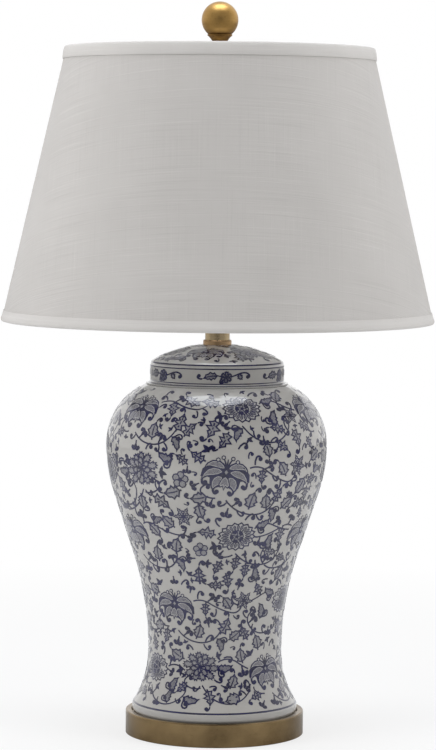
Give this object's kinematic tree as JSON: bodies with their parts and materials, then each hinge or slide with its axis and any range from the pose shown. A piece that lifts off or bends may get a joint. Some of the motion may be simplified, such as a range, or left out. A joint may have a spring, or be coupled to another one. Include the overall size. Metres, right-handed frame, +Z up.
{
  "type": "ginger jar lamp",
  "caption": "Table lamp: baluster ginger jar with domed lid on a round brass base, brass neck, harp and a tapered linen drum shade with a ball finial.",
  "frame": {"origin": "centre of the underside of the base, on the surface that the lamp stands on", "axes": "+Z up along the lamp's own axis, -Y to the front with the switch, +Y to the rear with the cord outlet, the harp lies in the XZ plane"},
  "size_m": [0.4332, 0.4332, 0.7342],
  "materials": {
    "antique_brass": "aged satin brass with darker brushed streaks",
    "polished_brass": "polished",
    "glazed_porcelain": "clear gloss glaze over blue scrolling flowers",
    "white_linen": "slubbed plain weave",
    "white_styrene": "smooth translucent sheet",
    "white_wire": "white enamel on steel wire",
    "zinc_steel": "bright zinc",
    "bare_aluminium": "bright",
    "black_moulding": "moulded",
    "black_rubber": "matt",
    "grey_board": "fibre board",
    "green_felt": "pressed felt",
    "frosted_glass": "inside frosted"
  },
  "bodies": {
    "lamp_base": {"felt_pad": "green_felt", "base_cup": "antique_brass", "cord_bushing": "black_rubber", "jar_seat_washer": "black_rubber", "jar_body": "glazed_porcelain", "lid_seat_ring": "black_rubber", "lid": "glazed_porcelain", "threaded_rod": "zinc_steel", "rod_washer": "zinc_steel", "rod_nut": "zinc_steel", "lock_nut": "zinc_steel", "cushion_washer": "black_rubber", "neck_ring": "polished_brass", "neck_tube": "polished_brass", "harp_saddle": "polished_brass", "socket_cap": "polished_brass", "socket_set_screw": "zinc_steel", "socket_shell": "polished_brass", "insulating_sleeve": "grey_board", "socket_core": "black_moulding", "screw_shell": "bare_aluminium", "centre_contact": "polished_brass"},
    "switch": {"switch_shaft": "polished_brass", "switch_knob": "black_moulding"},
    "bulb": {"bulb_cap": "bare_aluminium", "bulb_glass": "frosted_glass"},
    "harp": {"harp": "polished_brass"},
    "ferrule_left": {"harp_ferrule_left": "polished_brass"},
    "ferrule_right": {"harp_ferrule_right": "polished_brass"},
    "swivel": {"harp_stud": "polished_brass"},
    "shade": {"shade_cover": "white_linen", "shade_liner": "white_styrene", "bottom_ring": "white_wire", "top_ring": "white_wire", "bottom_trim": "white_linen", "top_trim": "white_linen", "spider_washer": "white_wire", "spider_arms": "white_wire"},
    "finial": {"finial": "antique_brass"}
  },
  "joints": [
    {"name": "switch_turn", "type": "hinge", "parent": "lamp_base", "child": "switch", "pos_m": [0, -0.03, 0.448], "axis": [0, -1, 0], "continuous": true},
    {"name": "bulb_lift", "type": "slide", "parent": "lamp_base", "child": "bulb", "axis": [0, 0, 1], "range_m": [0, 0.03]},
    {"name": "harp_lift", "type": "slide", "parent": "lamp_base", "child": "harp", "axis": [0, 0, 1], "range_m": [0, 0.03]},
    {"name": "ferrule_left_slide", "type": "slide", "parent": "harp", "child": "ferrule_left", "axis": [0, 0, 1], "range_m": [0, 0.012]},
    {"name": "ferrule_right_slide", "type": "slide", "parent": "harp", "child": "ferrule_right", "axis": [0, 0, 1], "range_m": [0, 0.012]},
    {"name": "shade_turn", "type": "hinge", "parent": "harp", "child": "swivel", "pos_m": [0, 0, 0.6704], "axis": [0, 0, 1], "continuous": true},
    {"name": "shade_lift", "type": "slide", "parent": "swivel", "child": "shade", "axis": [0, 0, 1], "range_m": [0, 0.29]},
    {"name": "finial_lift", "type": "slide", "parent": "shade", "child": "finial", "axis": [0, 0, 1], "range_m": [0, 0.02]}
  ]
}
